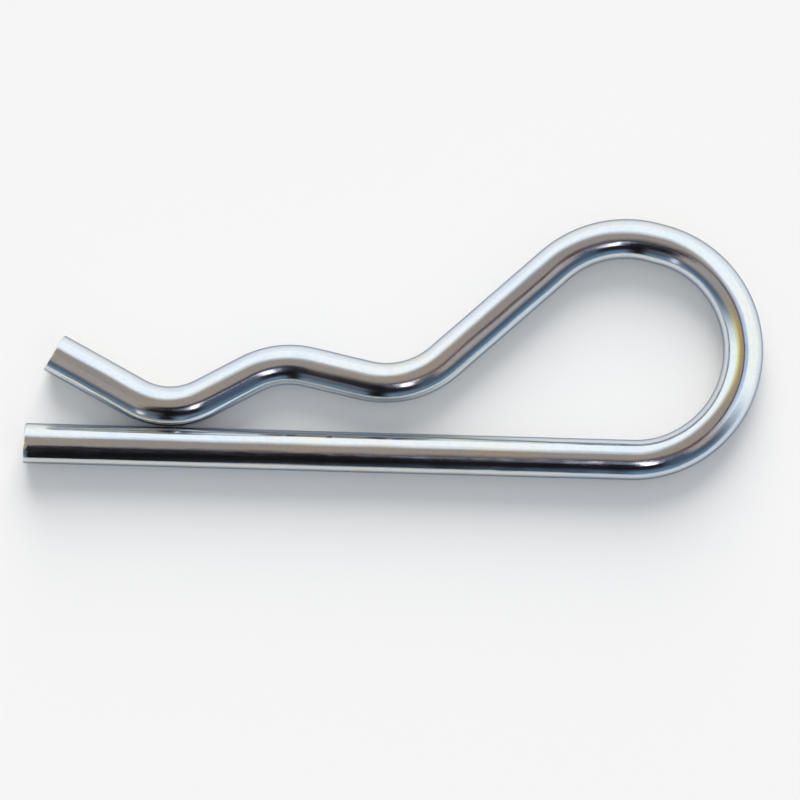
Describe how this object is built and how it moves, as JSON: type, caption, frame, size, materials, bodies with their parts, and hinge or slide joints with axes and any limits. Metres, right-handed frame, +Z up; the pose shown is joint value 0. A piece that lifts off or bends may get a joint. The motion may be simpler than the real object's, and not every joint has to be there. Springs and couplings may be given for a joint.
{
  "type": "hitch r clip pin",
  "caption": "Spring clip bent from one round wire: a straight leg for a shaft's cross hole, a round bow, and a waved arm that grips the outside of the shaft.",
  "frame": {"origin": "middle of the clip's box, on the surface that it lies on", "axes": "+X along the leg towards the bow, +Y from the leg towards the arm, +Z up, square to the plane of the bends"},
  "size_m": [0.0728, 0.0258, 0.004],
  "materials": {
    "zinc_wire": "bright zinc plating with a faint blue cast, over drawn spring wire"
  },
  "bodies": {
    "root": {"r_clip": "zinc_wire"}
  },
  "joints": []
}
